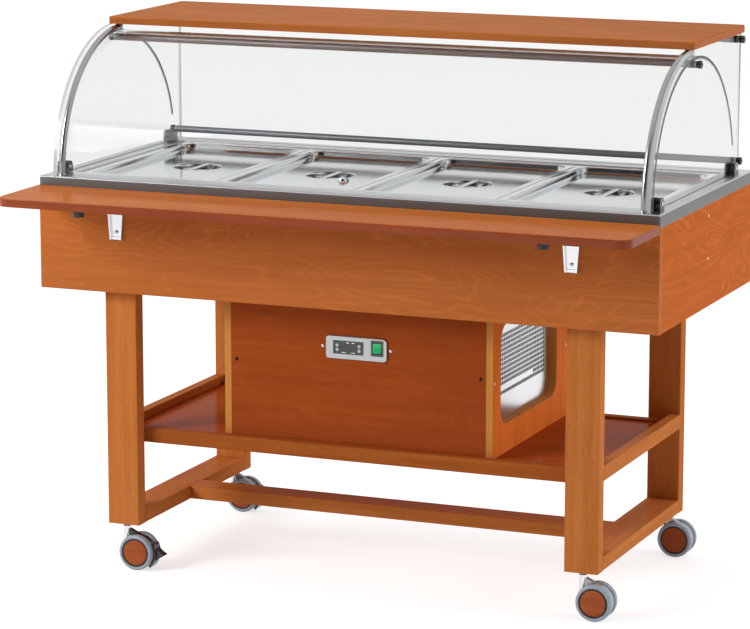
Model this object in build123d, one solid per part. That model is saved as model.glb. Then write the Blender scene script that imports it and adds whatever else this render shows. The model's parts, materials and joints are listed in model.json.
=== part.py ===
from build123d import *
import math
import os

# Refrigerated buffet trolley: a wooden cabinet and stand on four twin-wheel castors, a steel well for
# four full-size food pans under a roll-back clear hood, a serving shelf above, a fold-down tray shelf
# in front and a compressor unit on the lower shelf.
# Frame: X along the length, -Y the customer side, Z up, floor at z = 0. Shapes are drawn about the
# cabinet's centre line and moved back by half the reach of the tray shelf when they are saved.

# ---- driving dimensions, millimetres ----
body_length = 1420
body_depth = 674
worktop_height = 880
overall_height = 1200
worktop_edge = 27
steel = 2
board = 19
fascia_height = 222
tray_reach = 203
leg_width = 75
leg_thickness = 35
leg_x = 535.5
leg_y = 281.5
foot_height = 101.5
bottom_rail_height = 30
stretcher_width = 64
shelf_height = 312
shelf_board = 18
shelf_rail_thickness = 25
long_rail_low, long_rail_high = 285, 317
end_rail_low, end_rail_high = 296, 329
unit_length = 627
unit_depth = 474
unit_board = 16
window_front, window_rear = -190, 167
window_low, window_high = 375, 595
window_corner = 38
pan_pitch = 325
pan_length = 530
pan_depth = 100
pan_wall = 1.5
hood_radius = 282
hood_sheet = 5
hood_axis_y = -15
hood_first_angle = 1
hood_last_angle = 107
groove_last_angle = 167.5
panel_x = 680
panel_sheet = 8
panel_rear = 305
rear_sheet = 6
clamp_places = (-275, 256)
clamp_half = 14
clamp_height = 26
overshelf_length = 1370
overshelf_front = -45
overshelf_depth = 380
overshelf_board = 16
tube_radius = 7
tube_arc = 296
rod_radius = 7.5
hinge_y = -346.5
hinge_z = 835
bracket_x = 522
plate_z = 530
wheel_radius = 40
castor_trail = 30
wheel_inner = 9
wheel_outer = 25
gap = 0.3
running = 0.05

# ---- levels and half sizes worked out from them ----
half_length = body_length / 2
half_depth = body_depth / 2
shift_y = tray_reach / 2
fascia_top = worktop_height - worktop_edge
fascia_bottom = fascia_top - fascia_height
leg_outer_y = leg_y + leg_thickness / 2
leg_inner_y = leg_y - leg_thickness / 2
leg_outer_x = leg_x + leg_width / 2
leg_inner_x = leg_x - leg_width / 2
fascia_inner_x = half_length - board
fascia_inner_y = half_depth - board
overshelf_bottom = overall_height - overshelf_board
ledge_x = 2 * pan_pitch + 2
ledge_y = pan_length / 2 + 2
ledge_z = worktop_height - 6
well_x = ledge_x - 10
well_y = ledge_y - 10
unit_x = unit_length / 2
unit_y = unit_depth / 2
groove = 3.5
insulation_top = fascia_bottom + 56
leg_top = ledge_z - 6
base_board = 12
batten_height = 55

os.makedirs("parts", exist_ok=True)


def block(x0, x1, y0, y1, z0, z1):
    centre = ((x0 + x1) / 2, (y0 + y1) / 2, (z0 + z1) / 2)
    return Pos(*centre) * Box(abs(x1 - x0), abs(y1 - y0), abs(z1 - z0))


def rounded(solid, axis, radius):
    return fillet(solid.edges().filter_by(axis), radius)


def rod(radius, start, end):
    start, end = Vector(*start), Vector(*end)
    plane = Plane(origin=start, z_dir=end - start)
    return extrude(plane * Circle(radius), (end - start).length)


def mirrored_x(solid):
    return [solid, mirror(solid, Plane.YZ)]


def mirrored_y(solid):
    return [solid, mirror(solid, Plane.XZ)]


def save(node, *shapes):
    solids = []
    for shape in shapes:
        for item in shape if isinstance(shape, (list, tuple)) else [shape]:
            solids += item.solids()
    placed = [Pos(0, shift_y, 0) * solid for solid in solids]
    whole = placed[0] if len(placed) == 1 else Compound(children=placed)
    export_step(whole, f"parts/{node}.step")


def side_profile(points, x0, x1):
    """A closed outline of (y, z) points, given thickness along X."""
    face = make_face(Plane.YZ * Polyline(*points, close=True))
    return Pos(x0, 0, 0) * extrude(face, x1 - x0)


def front_profile(points, y0, y1):
    """A closed outline of (x, z) points, given thickness along Y."""
    plane = Plane(origin=(0, y0, 0), x_dir=(1, 0, 0), z_dir=(0, 1, 0))
    face = make_face(plane * Polyline(*[(x, -z) for x, z in points], close=True))
    return extrude(face, y1 - y0)


def arc_point(radius, angle):
    turn = math.radians(angle)
    return (hood_axis_y - radius * math.cos(turn), worktop_height + radius * math.sin(turn))


def arc_band(inner, outer, first, last, x0, x1):
    """A band bent about the hood's axis; angles run from the front edge up and back."""
    middle = (first + last) / 2
    lines = [
        ThreePointArc(arc_point(inner, first), arc_point(inner, middle), arc_point(inner, last)),
        Line(arc_point(inner, last), arc_point(outer, last)),
        ThreePointArc(arc_point(outer, last), arc_point(outer, middle), arc_point(outer, first)),
        Line(arc_point(outer, first), arc_point(inner, first)),
    ]
    return Pos(x0, 0, 0) * extrude(make_face(Plane.YZ * Curve(children=lines)), x1 - x0)


# ---- stand: legs, bottom rails, stretcher ----
def legs():
    leg = block(leg_inner_x, leg_outer_x, leg_inner_y, leg_outer_y, foot_height, leg_top)
    leg = rounded(leg, Axis.Z, 2.5)
    leg -= rod(5, (leg_x, leg_y, foot_height - 1), (leg_x, leg_y, foot_height + 35))
    pair = mirrored_x(leg)
    return pair + [mirror(item, Plane.XZ) for item in pair]


def bottom_rails():
    top = foot_height + bottom_rail_height
    rail = block(leg_inner_x, leg_outer_x, -leg_inner_y, leg_inner_y, foot_height, top)
    return mirrored_x(rounded(rail, Axis.Y, 2))


def stretcher():
    top = foot_height + bottom_rail_height
    half = stretcher_width / 2
    return rounded(block(-leg_inner_x, leg_inner_x, -half, half, foot_height, top), Axis.X, 2)


# ---- lower shelf ----
def shelf_panel():
    x = leg_outer_x - shelf_rail_thickness
    y = leg_inner_y - shelf_rail_thickness
    return block(-x, x, -y, y, shelf_height - shelf_board, shelf_height)


def shelf_rails():
    inner_x = leg_outer_x - shelf_rail_thickness
    inner_y = leg_inner_y - shelf_rail_thickness
    long_rail = block(-inner_x, inner_x, inner_y, leg_inner_y, long_rail_low, long_rail_high)
    end_rail = block(inner_x, leg_outer_x, -leg_inner_y, leg_inner_y, end_rail_low, end_rail_high)
    return mirrored_y(rounded(long_rail, Axis.X, 2)) + mirrored_x(rounded(end_rail, Axis.Y, 2))


# ---- cabinet ----
def front_fascia():
    panel = block(-half_length, half_length, -half_depth, -fascia_inner_y, fascia_bottom, fascia_top)
    return rounded(panel, Axis.X, 1.5)


def rear_fascia():
    return mirror(front_fascia(), Plane.XZ)


def end_fascias():
    panel = block(fascia_inner_x, half_length, -fascia_inner_y, fascia_inner_y, fascia_bottom, fascia_top)
    return mirrored_x(panel)


def carcass():
    """Battens under the worktop, and the board that closes the cabinet from below."""
    low, high = fascia_top - batten_height, worktop_height - steel
    long_batten = block(-fascia_inner_x, fascia_inner_x, leg_outer_y, fascia_inner_y, low, high)
    end_batten = block(fascia_inner_x - board, fascia_inner_x, -leg_outer_y, leg_outer_y, low, high)
    base_top = fascia_bottom + base_board
    base = block(-fascia_inner_x, fascia_inner_x, -fascia_inner_y, fascia_inner_y, fascia_bottom, base_top)
    for sx in (-1, 1):
        for sy in (-1, 1):
            base -= Pos(sx * leg_x, sy * leg_y, fascia_bottom) * Box(leg_width, leg_thickness, 4 * base_board)
    return mirrored_y(long_batten) + mirrored_x(end_batten) + [base]


# ---- steel worktop and the cold well ----
def worktop():
    outer = block(-half_length, half_length, -half_depth, half_depth, fascia_top, worktop_height)
    outer = rounded(outer, Axis.Z, 3)
    x, y = half_length - steel, half_depth - steel
    folded = outer - block(-x, x, -y, y, fascia_top - 1, worktop_height - steel)
    wall_x, wall_y = ledge_x + steel, ledge_y + steel
    folded += block(-wall_x, wall_x, -wall_y, wall_y, ledge_z - steel, worktop_height)
    folded -= block(-ledge_x, ledge_x, -ledge_y, ledge_y, ledge_z, worktop_height + 1)
    folded -= block(-well_x, well_x, -well_y, well_y, ledge_z - 10, worktop_height + 1)
    return folded


def pan_crossbars():
    top = block(-10, 10, -well_y, well_y, ledge_z - 4, ledge_z)
    web = block(-steel, steel, -well_y, well_y, ledge_z - 22, ledge_z - 4)
    bar = top + web
    return [Pos(step * pan_pitch, 0, 0) * bar for step in (-1, 0, 1)]


def well_tank():
    top, bottom = ledge_z - steel, insulation_top + 3
    outer = block(-well_x - steel, well_x + steel, -well_y - steel, well_y + steel, bottom, top)
    return outer - block(-well_x, well_x, -well_y, well_y, bottom + steel, top + 1)


def evaporator():
    return block(-600, 600, -240, 240, insulation_top, insulation_top + 3)


def well_insulation():
    low = fascia_bottom + base_board
    return block(-well_x - steel, well_x + steel, -well_y - steel, well_y + steel, low, insulation_top)


def sunk_box(length, width, radius, top, depth, slope):
    """A rounded box that narrows downwards, its top face at the given height."""
    section = Pos(0, 0, top) * RectangleRounded(length, width, radius)
    return extrude(section, -depth, taper=slope)


def pan():
    top = ledge_z + steel
    rim = Pos(0, 0, ledge_z) * extrude(RectangleRounded(pan_pitch - 1, pan_length - 1, 12), steel)
    body = sunk_box(303, 508, 30, top, pan_depth, 3)
    inside = sunk_box(303 - 2 * pan_wall, 508 - 2 * pan_wall, 29, top + 0.1, pan_depth - pan_wall, 3)
    return rim + body - inside


lid_low = ledge_z + steel + gap
lid_sheet = 1.5
dish_depth = 13
cup_radius = 52
cup_depth = 18


def lid():
    top = lid_low + lid_sheet
    floor = top - dish_depth
    cover = Pos(0, 0, lid_low) * extrude(RectangleRounded(pan_pitch - 1, pan_length - 1, 12), lid_sheet)
    cover += sunk_box(291, 496, 25, top, dish_depth + lid_sheet, 12)
    cover += Pos(0, 0, floor - (cup_depth + lid_sheet) / 2) * Cylinder(cup_radius + lid_sheet, cup_depth + lid_sheet)
    cover -= sunk_box(288, 493, 24, top + 0.05, dish_depth + 0.05, 12)
    cover -= Pos(0, 0, floor - cup_depth / 2 + 0.5) * Cylinder(cup_radius, cup_depth + 1)
    return cover + block(-7, 7, -cup_radius - 0.5, cup_radius + 0.5, floor - 3, floor)


# ---- hood group ----
def end_panels():
    """Clear end panel with a round front edge; the hood's rim runs in the arc groove on its inner face."""
    inner, outer = panel_x - panel_sheet / 2, panel_x + panel_sheet / 2
    radius = tube_arc + tube_radius + 2
    round_part = Pos(inner, hood_axis_y, worktop_height) * Rot(0, 90, 0) * Cylinder(
        radius, panel_sheet, align=(Align.CENTER, Align.CENTER, Align.MIN))
    front = round_part & block(inner, outer, hood_axis_y - radius, hood_axis_y, worktop_height, overshelf_bottom)
    panel = front + block(inner, outer, hood_axis_y, panel_rear, worktop_height, overshelf_bottom)
    cut_low, cut_high = hood_radius - 1, hood_radius + hood_sheet + 1
    panel -= arc_band(cut_low, cut_high, 0.2, groove_last_angle, inner - 1, inner + groove)
    for y, z in rod_places:
        panel -= rod(rod_radius, (inner - 1, y, z), (outer + 1, y, z))
    return mirrored_x(panel)


def hood():
    edge = panel_x - panel_sheet / 2 + groove - 0.5
    sheet = arc_band(hood_radius, hood_radius + hood_sheet, hood_first_angle, hood_last_angle, -edge, edge)
    return sheet - knob_bore()


knob_angle = 4.8


def on_hood(radius):
    y, z = arc_point(radius, knob_angle)
    return (0, y, z)


def knob_bore():
    return rod(3, on_hood(hood_radius - 2), on_hood(hood_radius + hood_sheet + 2))


def hood_knob():
    outside = hood_radius + hood_sheet
    neck = rod(5, on_hood(outside), on_hood(outside + 8))
    ball = rod(9.5, on_hood(outside + 8), on_hood(outside + 20))
    shank = rod(3, on_hood(hood_radius - 1), on_hood(outside + 1))
    washer = rod(7, on_hood(hood_radius - 3), on_hood(hood_radius - 0.1))
    return neck + ball + shank + washer


rod_places = [(-20, worktop_height + 271), (289, worktop_height + 25), (294, overshelf_bottom - 12)]
rod_end = panel_x + 4 + panel_sheet / 2
cap_length = 8


def tie_rods():
    return [rod(rod_radius, (-rod_end, y, z), (rod_end, y, z)) for y, z in rod_places]


def rod_end_caps():
    caps = []
    for y, z in rod_places:
        caps += mirrored_x(rod(rod_radius + 1, (rod_end, y, z), (rod_end + cap_length, y, z)))
    return caps


def support_tubes():
    """Stainless tube: a quarter circle up from the worktop, then a short stub to the overshelf."""
    start, middle, end = arc_point(tube_arc, 0), arc_point(tube_arc, 44), arc_point(tube_arc, 88)
    path = Plane.YZ * ThreePointArc(start, middle, end)
    section = Plane(origin=(0, *start), z_dir=(0, 0, 1)) * Circle(tube_radius)
    tube = sweep(section, path=path)
    flange = Pos(0, start[0], start[1] + 1.5) * Cylinder(8.7, 3)
    stub = rod(tube_radius + 1.2, (0, end[0], end[1] - tube_radius - 0.2), (0, end[0], overshelf_bottom))
    x = panel_x - panel_sheet / 2 - tube_radius - 2
    return mirrored_x(Pos(x, 0, 0) * (tube + flange + stub))


def rear_panel():
    x = panel_x - panel_sheet / 2
    front = panel_rear + 0.2
    return block(-x, x, front, front + rear_sheet, worktop_height, overshelf_bottom)


def clamp_knobs():
    """Moulded two-jaw clamps, screwed to the worktop, that grip the end panels from both sides."""
    clamps = []
    half_slot = panel_sheet / 2
    for y in clamp_places:
        low, high = worktop_height, worktop_height + clamp_height
        y0, y1 = y - clamp_half, y + clamp_half
        body = block(panel_x - clamp_half, panel_x + clamp_half, y0, y1, low, high)
        body = fillet(body.edges().filter_by(Axis.X).group_by(Axis.Z)[-1], clamp_half - 2)
        slot = block(panel_x - half_slot, panel_x + half_slot, y0 - 1, y1 + 1, low - 1, high + 1)
        clamps += mirrored_x(body - slot)
    return clamps


def overshelf():
    x = overshelf_length / 2
    y1 = overshelf_front + overshelf_depth
    top = rounded(block(-x, x, overshelf_front, y1, overshelf_bottom, overall_height), Axis.Z, 8)
    return fillet(top.edges().group_by(Axis.Z)[-1], 2.5)


# ---- fold-down tray shelf ----
tray_top = worktop_height - 20
tray_bottom = tray_top - board
tray_rear = -half_depth - 1.5
tray_front = -half_depth - tray_reach
buffer_y = -515
plate_bottom = 750


def tray_shelf():
    shelf = block(-half_length, half_length, tray_front, tray_rear, tray_bottom, tray_top)
    corners = shelf.edges().filter_by(Axis.Z).group_by(Axis.Y)[0]
    shelf = fillet(corners, 30)
    return fillet(shelf.edges().group_by(Axis.Z)[-1], 3)


def bracket_plates():
    """Tapered wall plate with side flanges that carry the hinge pin."""
    top, low = tray_bottom - 3, plate_bottom
    back = front_profile([(-20.5, top), (20.5, top), (13.5, low), (-13.5, low)], -half_depth - 3, -half_depth)
    flange = front_profile([(16.5, top), (20.5, top), (13.5, low), (10.5, low)], -half_depth - 9, -half_depth - 3)
    ear = rod(5.2, (16.5, hinge_y, hinge_z), (20.5, hinge_y, hinge_z))
    pin = rod(2.5, (-16.5, hinge_y, hinge_z), (16.5, hinge_y, hinge_z))
    lip = block(-11.5, 11.5, -half_depth - 5, -half_depth - 3, low, low + 6)
    plate = back + flange + mirror(flange, Plane.YZ) + ear + mirror(ear, Plane.YZ) + pin + lip
    return mirrored_x(Pos(bracket_x, 0, 0) * plate)


def bracket_arms():
    knuckle = rod(5.2, (-15, hinge_y, hinge_z), (15, hinge_y, hinge_z))
    knuckle += block(-13, 13, hinge_y - 8, hinge_y + 4, tray_bottom - 3, tray_bottom)
    arm = block(-13, 13, buffer_y, hinge_y, tray_bottom - 3, tray_bottom)
    bore = rod(2.5 + running, (-16, hinge_y, hinge_z), (16, hinge_y, hinge_z))
    seat = Pos(0, buffer_y, tray_bottom - 1) * Cylinder(13.5, 2)
    return mirrored_x(Pos(bracket_x, 0, 0) * (knuckle + arm + seat - bore))


def buffers():
    top = tray_bottom - 3
    cone = Pos(bracket_x, buffer_y, top - 6) * Rot(180, 0, 0) * Cone(12.5, 11, 12)
    return mirrored_x(cone)


# ---- compressor unit on the lower shelf ----
def unit_front_panel():
    x = unit_x - unit_board
    return block(-x, x, -unit_y, -unit_y + unit_board, shelf_height, fascia_bottom)


def unit_side_panels():
    side = block(unit_x - unit_board, unit_x, -unit_y, unit_y, shelf_height, fascia_bottom)
    window = block(unit_x - 2 * unit_board, unit_x + 1, window_front, window_rear, window_low, window_high)
    return mirrored_x(rounded(side, Axis.Z, 1) - rounded(window, Axis.X, window_corner))


def unit_grilles():
    side_x = unit_x - unit_board
    side = block(side_x - steel, side_x, -unit_y + unit_board, unit_y - steel, shelf_height, fascia_bottom)
    rear = block(-side_x, side_x, unit_y - steel, unit_y, shelf_height, fascia_bottom)
    return mirrored_x(side) + [rear]


def compressor():
    """Sealed motor-compressor can on its foot plate, with the suction line's stub."""
    can = Pos(-120, 20, shelf_height + 114) * Cylinder(85, 180)
    can = fillet(can.edges().filter_by(GeomType.CIRCLE), 30)
    feet = block(-215, -25, -60, 100, shelf_height, shelf_height + 24.5)
    stub = rod(6, (-120, 20, shelf_height + 200), (-120, 20, shelf_height + 250))
    return can + feet + stub


fan_x = 150
fan_y = -10
fan_z = 470
shaft_radius = 4


def condenser():
    """Finned block behind the right grille, its fan shroud and the motor bracket."""
    coil = block(240, 275, -180, 160, 340, 600)
    shroud = block(195, 239, -150, 130, 340, 600)
    shroud -= rod(118, (190, fan_y, fan_z), (245, fan_y, fan_z))
    motor = rod(38, (60, fan_y, fan_z), (125, fan_y, fan_z))
    motor += block(70, 110, fan_y - 20, fan_y + 20, shelf_height, fan_z)
    motor += rod(shaft_radius, (125, fan_y, fan_z), (185, fan_y, fan_z))
    return [coil, shroud, motor]


def fan():
    hub = rod(22, (fan_x, fan_y, fan_z), (fan_x + 30, fan_y, fan_z))
    blades = 5
    for index in range(blades):
        blade = Pos(fan_x + 15, fan_y, fan_z) * Rot(360 / blades * index, 0, 0) * Pos(0, 0, 62) * Rot(0, 0, 30)
        hub += blade * Box(2.5, 46, 86)
    return hub - rod(shaft_radius + running, (fan_x - 1, fan_y, fan_z), (fan_x + 40, fan_y, fan_z))


def power_inlet():
    gland = rod(9, (-230, unit_y, 350), (-230, unit_y + 12, 350))
    return gland - rod(4, (-230, unit_y - 1, 350), (-230, unit_y + 13, 350))


# ---- controls ----
plate_face = -unit_y - 5
window_x, window_z = -17.8, plate_z + 1
rocker_x, rocker_height = 49.5, plate_z + 4
button_radius = 3.8
button_places = [(-43.5, 5.3), (-43.5, -4.3), (8, 5.3), (8, -4.3)]
rocker_tilt = 8


def control_plate():
    plate = block(-71, 71, plate_face, -unit_y, plate_z - 25.5, plate_z + 25.5)
    plate = rounded(plate, Axis.Y, 8)
    plate = chamfer(plate.faces().sort_by(Axis.Y)[0].edges(), 1.2)
    plate -= block(window_x - 35.3, window_x + 35.3, plate_face - 1, -unit_y + 1, window_z - 14.7, window_z + 14.7)
    plate -= block(rocker_x - 14, rocker_x + 14, plate_face - 1, -unit_y + 1, rocker_height - 17, rocker_height + 17)
    return plate


def switch_bezels():
    """The thermostat's black window and the rocker's frame, both pushed into the plate."""
    window = block(window_x - 35.3, window_x + 35.3, plate_face - 0.6, -unit_y, window_z - 14.7, window_z + 14.7)
    for x, z in button_places:
        centre_z = plate_z + z
        window -= rod(button_radius + running, (x, plate_face - 2, centre_z), (x, plate_face + 3, centre_z))
    low, high = rocker_height - 17, rocker_height + 17
    frame = block(rocker_x - 14, rocker_x + 14, plate_face - 1.5, -unit_y, low, high)
    frame -= block(rocker_x - 10.2, rocker_x + 10.2, plate_face - 3, -unit_y - 0.5, low + 5, high - 5)
    return [window, frame]


def button(x, z):
    return rod(button_radius, (x, plate_face - 1.4, plate_z + z), (x, plate_face + 1.6, plate_z + z))


def rocker_switch():
    """Rocker with its upper half pressed in; it turns about the X axis in its frame."""
    half = 10.5
    outline = [(-3.2, half), (-1.6, 0), (-3.2, -half), (0.4, -half), (2.2, 0), (0.4, half)]
    profile = side_profile(outline, -9.5, 9.5)
    return Pos(rocker_x, plate_face, rocker_height) * Rot(-rocker_tilt, 0, 0) * profile


# ---- castors ----
def castor_stem(x, y):
    return rod(5, (x, y, 62), (x, y, foot_height + 34))


def castor_housing(braked):
    """Barrel on the swivel stem, with a web and a round hood that fills the gap between the wheels."""
    barrel = Pos(0, 0, 74.5) * Cylinder(8.5, 45)
    barrel = chamfer(barrel.edges().group_by(Axis.Z)[-1], 1.5)
    hood_disc = axle_disc(37, -7.5, 7.5)
    web = front_profile([(0, 52), (0, 90), (7, 90), (45, 72), (30, 40)], -6, 6)
    body = barrel + web + hood_disc
    body -= block(-20, 90, -20, 20, -5, 12)
    if braked:
        body -= brake_sweep()
    body -= rod(5 + running, (0, 0, 61), (0, 0, 110))
    return body - axle_disc(4 + running, -10, 10)


def about_axle(radius, angle):
    turn = math.radians(angle)
    return (castor_trail + radius * math.cos(turn), wheel_radius + radius * math.sin(turn))


def about_axle_face(inner, outer, first, last, y0, y1):
    """A slice of a ring about the axle, angles up from +X, given thickness along Y."""
    def spot(radius, angle):
        x, z = about_axle(radius, angle)
        return (x, -z)

    middle = (first + last) / 2
    lines = [
        ThreePointArc(spot(inner, first), spot(inner, middle), spot(inner, last)),
        Line(spot(inner, last), spot(outer, last)),
        ThreePointArc(spot(outer, last), spot(outer, middle), spot(outer, first)),
        Line(spot(outer, first), spot(inner, first)),
    ]
    plane = Plane(origin=(0, y0, 0), x_dir=(1, 0, 0), z_dir=(0, 1, 0))
    return extrude(make_face(plane * Curve(children=lines)), y1 - y0)


def axle_disc(radius, y0, y1):
    return rod(radius, (castor_trail, y0, wheel_radius), (castor_trail, y1, wheel_radius))


def brake_sweep():
    return about_axle_face(6, 60, -75, 45, 2.2, 9) + axle_disc(9.5, 2.2, 9)


def brake_pedal():
    """Pedal that turns about the axle: a hub and arm between the wheels, a band and a tread outside."""
    pedal = about_axle_face(6, 43, -48, 24, 2.6, 7.4) + axle_disc(8.5, 2.6, 7.4)
    pedal += about_axle_face(41, 46, -48, 30, -13, 13)
    pedal += front_profile([(72.5, 53), (84, 43), (94, 37), (93, 35), (80, 28), (72.5, 22)], -9, 9)
    return pedal - axle_disc(4 + running, 2, 8)


def castor_wheels():
    axle = axle_disc(4, -wheel_inner, wheel_inner)
    tyre = axle_disc(wheel_radius, wheel_inner, wheel_outer)
    tyre = fillet(tyre.edges().filter_by(GeomType.CIRCLE).sort_by(Axis.Y)[-1], 5)
    return [axle] + mirrored_y(tyre)


def save_castors():
    places = {"front_left": (-1, -1), "front_right": (1, -1), "rear_left": (-1, 1), "rear_right": (1, 1)}
    stems = []
    for name, (sx, sy) in places.items():
        x, y = sx * leg_x, sy * leg_y
        spot = Pos(x, y, 0)
        braked = sx < 0
        stems.append(castor_stem(x, y))
        save(f"castor_housing_{name}", spot * castor_housing(braked))
        save(f"castor_wheels_{name}", [spot * item for item in castor_wheels()])
        if braked:
            save(f"brake_pedal_{name}", spot * brake_pedal())
    save("castor_stems", stems)


plain_nodes = {
    "legs": legs, "bottom_rails": bottom_rails, "stretcher": stretcher, "shelf_panel": shelf_panel,
    "shelf_rails": shelf_rails, "front_fascia": front_fascia, "rear_fascia": rear_fascia,
    "end_fascias": end_fascias, "carcass": carcass, "worktop": worktop, "pan_crossbars": pan_crossbars,
    "well_tank": well_tank, "evaporator": evaporator, "well_insulation": well_insulation,
    "end_panels": end_panels, "hood": hood, "hood_knob": hood_knob, "tie_rods": tie_rods,
    "rod_end_caps": rod_end_caps, "support_tubes": support_tubes, "rear_panel": rear_panel,
    "clamp_knobs": clamp_knobs, "overshelf": overshelf, "tray_shelf": tray_shelf,
    "bracket_plates": bracket_plates, "bracket_arms": bracket_arms, "buffers": buffers,
    "unit_front_panel": unit_front_panel, "unit_side_panels": unit_side_panels,
    "unit_grilles": unit_grilles, "compressor": compressor, "condenser": condenser, "fan": fan,
    "power_inlet": power_inlet, "control_plate": control_plate, "switch_bezels": switch_bezels,
    "rocker_switch": rocker_switch,
}

for node, make in plain_nodes.items():
    save(node, make())

first_pan = -1.5 * pan_pitch
for index in range(4):
    spot = Pos(first_pan + index * pan_pitch, 0, 0)
    save(f"pan_{index + 1}", spot * pan())
    save(f"lid_{index + 1}", spot * lid())

for index, (x, z) in enumerate(button_places):
    save(f"button_{index + 1}", button(x, z))

save_castors()
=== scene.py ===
import json
import math

import bmesh
import bpy
from mathutils import Matrix, Vector

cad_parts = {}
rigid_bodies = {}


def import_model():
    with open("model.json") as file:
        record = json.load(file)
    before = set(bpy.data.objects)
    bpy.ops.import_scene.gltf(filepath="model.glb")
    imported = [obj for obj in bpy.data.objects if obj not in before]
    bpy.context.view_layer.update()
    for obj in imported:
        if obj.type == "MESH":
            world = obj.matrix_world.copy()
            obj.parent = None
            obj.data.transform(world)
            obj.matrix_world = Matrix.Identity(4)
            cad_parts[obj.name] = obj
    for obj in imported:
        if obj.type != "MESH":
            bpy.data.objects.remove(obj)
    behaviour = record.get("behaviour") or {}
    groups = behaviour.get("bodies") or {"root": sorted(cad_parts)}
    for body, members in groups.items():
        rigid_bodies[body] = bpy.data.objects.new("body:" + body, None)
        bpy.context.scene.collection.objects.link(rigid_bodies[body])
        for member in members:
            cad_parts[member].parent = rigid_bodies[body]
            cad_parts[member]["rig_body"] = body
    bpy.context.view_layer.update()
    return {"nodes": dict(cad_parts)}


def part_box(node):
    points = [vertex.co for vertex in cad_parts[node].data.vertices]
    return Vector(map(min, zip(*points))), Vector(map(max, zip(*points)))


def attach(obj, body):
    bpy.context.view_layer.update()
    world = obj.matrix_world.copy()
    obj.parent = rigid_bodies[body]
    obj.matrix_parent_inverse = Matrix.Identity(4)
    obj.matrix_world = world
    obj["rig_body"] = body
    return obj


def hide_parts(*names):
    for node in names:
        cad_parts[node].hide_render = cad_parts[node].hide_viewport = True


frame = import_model()
nodes = frame["nodes"]
mm = 0.001
top_low, top_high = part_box("worktop")
centre_y = (top_low.y + top_high.y) / 2
deck = top_high.z


# What the finishes and pieces below are made with: colours, materials and their nodes, wood, and the
# steps that put a piece on its body.
def stain(red, green, blue):
    """A colour as a paint card gives it, 0 to 255, turned into the light it gives back."""
    values = [v / 255 for v in (red, green, blue)]
    return [v / 12.92 if v <= 0.04045 else ((v + 0.055) / 1.055) ** 2.4 for v in values] + [1.0]


class Nodes:
    """A tree of nodes, with short calls that add them and join them."""

    def __init__(self, tree):
        self.tree = tree

    def add(self, kind, inputs=None, **settings):
        made = self.tree.nodes.new("ShaderNode" + kind)
        for key, value in settings.items():
            setattr(made, key, value)
        for key, value in (inputs or {}).items():
            if isinstance(value, bpy.types.NodeSocket):
                self.tree.links.new(value, made.inputs[key])
            else:
                made.inputs[key].default_value = value
        return made

    def math(self, operation, first, second):
        return self.add("Math", {0: first, 1: second}, operation=operation).outputs[0]

    def spread(self, value, low, high, to_low=0.0, to_high=1.0, **settings):
        """Turns low..high into to_low..to_high, and holds it there outside."""
        inputs = {"Value": value, "From Min": low, "From Max": high, "To Min": to_low, "To Max": to_high}
        return self.add("MapRange", inputs, **settings).outputs[0]


class Finish(Nodes):
    """A material, with calls for the patterns that feed it."""

    def __init__(self, name, colour, roughness=0.5, metallic=0.0, **sockets):
        self.material = bpy.data.materials.new(name)
        self.material.use_nodes = True
        super().__init__(self.material.node_tree)
        self.shader = self.tree.nodes["Principled BSDF"]
        self.material.diffuse_color = colour
        self.set("Base Color", colour)
        self.set("Roughness", roughness)
        self.set("Metallic", metallic)
        for socket, value in sockets.items():
            self.set(socket.replace("_", " "), value)

    def set(self, socket, value):
        self.shader.inputs[socket].default_value = value

    def feed(self, output, socket):
        self.tree.links.new(output, self.shader.inputs[socket])

    def place(self, scale, shift=(0, 0, 0)):
        """Object coordinates, stretched by one factor for each axis."""
        where = self.add("TexCoord").outputs["Object"]
        return self.add("Mapping", {"Vector": where, "Scale": scale, "Location": shift}).outputs[0]

    def noise(self, scale, detail=2.0, roughness=0.5, distortion=0.0, shift=(0, 0, 0)):
        inputs = {"Vector": self.place(scale, shift), "Scale": 1.0, "Detail": detail}
        inputs.update({"Roughness": roughness, "Distortion": distortion})
        return self.add("TexNoise", inputs).outputs[0]

    def mix(self, share, first, second):
        return self.add("Mix", {0: share, 6: first, 7: second}, data_type="RGBA").outputs[2]

    def bump(self, height, strength, distance):
        inputs = {"Height": height, "Strength": strength, "Distance": distance}
        self.feed(self.add("Bump", inputs).outputs[0], "Normal")

    def worn(self, low, high, scale, detail=2.0):
        """Lets the roughness wander between two values, in patches of one size."""
        scale = scale if isinstance(scale, tuple) else (scale, scale, scale)
        self.feed(self.spread(self.noise(scale, detail), 0.3, 0.7, low, high), "Roughness")

    def mottled(self, first, second, size, detail=2.0):
        """Lets the colour wander between two card colours."""
        share = self.spread(self.noise((size, size, size), detail), 0.3, 0.7)
        self.feed(self.mix(share, stain(*first), stain(*second)), "Base Color")


def along(axis, lengthwise, across):
    """Three factors: one for the axis that the grain follows and one for the other two."""
    return [lengthwise if name == axis else across for name in "XYZ"]


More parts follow.
